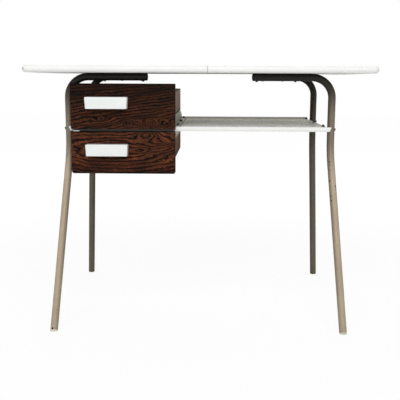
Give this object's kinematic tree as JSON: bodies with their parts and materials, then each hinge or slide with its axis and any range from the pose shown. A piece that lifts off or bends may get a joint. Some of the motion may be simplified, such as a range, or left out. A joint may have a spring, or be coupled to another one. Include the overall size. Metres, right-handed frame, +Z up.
{
  "type": "office desk",
  "caption": "Office desk with a white bullnosed worktop, splayed bent-tube legs, a steel shelf and dark wood drawers with white cup handles.",
  "frame": {"origin": "on the floor, below the middle of the worktop", "axes": "+X to the sitter's right along the worktop, +Y to the back of the desk, +Z up"},
  "size_m": [1.011, 0.6626, 0.76],
  "materials": {
    "tube_paint": "worn beige-brown enamel",
    "black_plastic": "moulded, dull",
    "cream_plastic": "moulded, aged",
    "black_steel": "blackened",
    "chipboard": "pressed chips, raw",
    "white_laminate": "satin laminate",
    "backing_sheet": "plain backing sheet",
    "white_edge": "satin edge band",
    "shelf_paint": "glossy pale grey enamel",
    "rail_paint": "dark enamel",
    "runner_steel": "plain steel, lightly polished",
    "rosewood_veneer": "figured dark rosewood, satin lacquer",
    "box_plastic": "moulded brown-grey",
    "white_plastic": "moulded, satin",
    "zinc_steel": "zinc plated"
  },
  "bodies": {
    "frame": {"edge_band": "white_edge", "foot_glide_front_left": "cream_plastic", "foot_glide_front_right": "cream_plastic", "foot_glide_rear_left": "cream_plastic", "foot_glide_rear_right": "cream_plastic", "leg_bolt_front_left": "black_steel", "leg_bolt_front_right": "black_steel", "leg_bolt_rear_left": "black_steel", "leg_bolt_rear_right": "black_steel", "leg_front_left": "tube_paint", "leg_front_right": "tube_paint", "leg_rear_left": "tube_paint", "leg_rear_right": "tube_paint", "lower_runner_left": "runner_steel", "lower_runner_right": "runner_steel", "runner_screw_left_front": "black_steel", "runner_screw_left_middle": "black_steel", "runner_screw_left_rear": "black_steel", "runner_screw_right_front": "black_steel", "runner_screw_right_middle": "black_steel", "runner_screw_right_rear": "black_steel", "shelf_pan": "shelf_paint", "shelf_screw_front": "black_steel", "shelf_screw_middle": "black_steel", "shelf_screw_rear": "black_steel", "side_rail_left": "rail_paint", "side_rail_right": "rail_paint", "top_backing": "backing_sheet", "top_core": "chipboard", "top_laminate": "white_laminate", "top_screw_front_left_inner": "black_steel", "top_screw_front_left_outer": "black_steel", "top_screw_front_right_inner": "black_steel", "top_screw_front_right_outer": "black_steel", "top_screw_rear_left_inner": "black_steel", "top_screw_rear_left_outer": "black_steel", "top_screw_rear_right_inner": "black_steel", "top_screw_rear_right_outer": "black_steel", "tube_plug_front_left": "black_plastic", "tube_plug_front_right": "black_plastic", "tube_plug_rear_left": "black_plastic", "tube_plug_rear_right": "black_plastic", "upper_runner_left": "runner_steel", "upper_runner_right": "runner_steel"},
    "upper_drawer": {"upper_drawer_box": "box_plastic", "upper_drawer_front": "rosewood_veneer", "upper_drawer_front_screw_high": "zinc_steel", "upper_drawer_front_screw_low": "zinc_steel", "upper_drawer_handle": "white_plastic", "upper_drawer_handle_screw_left": "zinc_steel", "upper_drawer_handle_screw_right": "zinc_steel"},
    "lower_drawer": {"lower_drawer_box": "box_plastic", "lower_drawer_front": "rosewood_veneer", "lower_drawer_front_screw_high": "zinc_steel", "lower_drawer_front_screw_low": "zinc_steel", "lower_drawer_handle": "white_plastic", "lower_drawer_handle_screw_left": "zinc_steel", "lower_drawer_handle_screw_right": "zinc_steel"}
  },
  "joints": [
    {"name": "upper_drawer_slide", "type": "slide", "parent": "frame", "child": "upper_drawer", "axis": [0, -1, 0], "range_m": [0, 0.27]},
    {"name": "lower_drawer_slide", "type": "slide", "parent": "frame", "child": "lower_drawer", "axis": [0, -1, 0], "range_m": [0, 0.27]}
  ]
}
